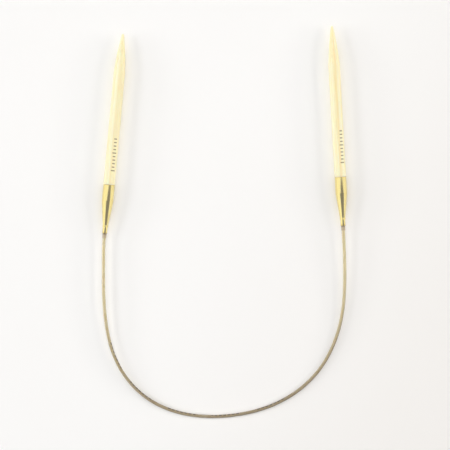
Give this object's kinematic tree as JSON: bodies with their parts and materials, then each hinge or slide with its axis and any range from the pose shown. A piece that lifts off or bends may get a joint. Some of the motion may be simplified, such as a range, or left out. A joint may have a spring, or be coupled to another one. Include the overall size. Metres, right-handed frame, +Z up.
{
  "type": "circular knitting needle",
  "caption": "Circular knitting needle: tapered bamboo tips in brass ferrules that swivel on the ends of a flexible nylon cable.",
  "frame": {"origin": "on the surface that the needles lie on, at the middle of the two needle units' bounding box", "axes": "+X from the left needle to the right one, +Y towards the needles' tips and away from the cable's loop, +Z up"},
  "size_m": [0.1067, 0.1709, 0.005],
  "materials": {
    "bamboo": "satin",
    "ferrule_brass": "polished",
    "pin_steel": "satin",
    "collar": "satin",
    "cable_nylon": "satin"
  },
  "bodies": {
    "left_cable_end": {"cable": "cable_nylon", "left_crimp_collar": "collar", "left_swivel_pin": "pin_steel"},
    "left_needle_unit": {"left_needle": "bamboo", "left_ferrule": "ferrule_brass"},
    "right_cable_end": {"right_crimp_collar": "collar", "right_swivel_pin": "pin_steel"},
    "right_needle_unit": {"right_needle": "bamboo", "right_ferrule": "ferrule_brass"}
  },
  "joints": [
    {"name": "left_swivel", "type": "hinge", "parent": "left_cable_end", "child": "left_needle_unit", "pos_m": [-0.0522, -0.0444, 0.00249], "axis": [0.0915, 0.9958, 0], "continuous": true},
    {"name": "cable_flex", "type": "hinge", "parent": "left_cable_end", "child": "right_cable_end", "pos_m": [-0.003, -0.1242, 0.00072], "axis": [0, 0, 1], "range_deg": [-90, 29], "stiffness_Nm_per_rad": 0.0022, "deforming": ["cable"]},
    {"name": "right_swivel", "type": "hinge", "parent": "right_cable_end", "child": "right_needle_unit", "pos_m": [0.0516, -0.0411, 0.00249], "axis": [-0.0558, 0.9984, 0], "continuous": true}
  ]
}
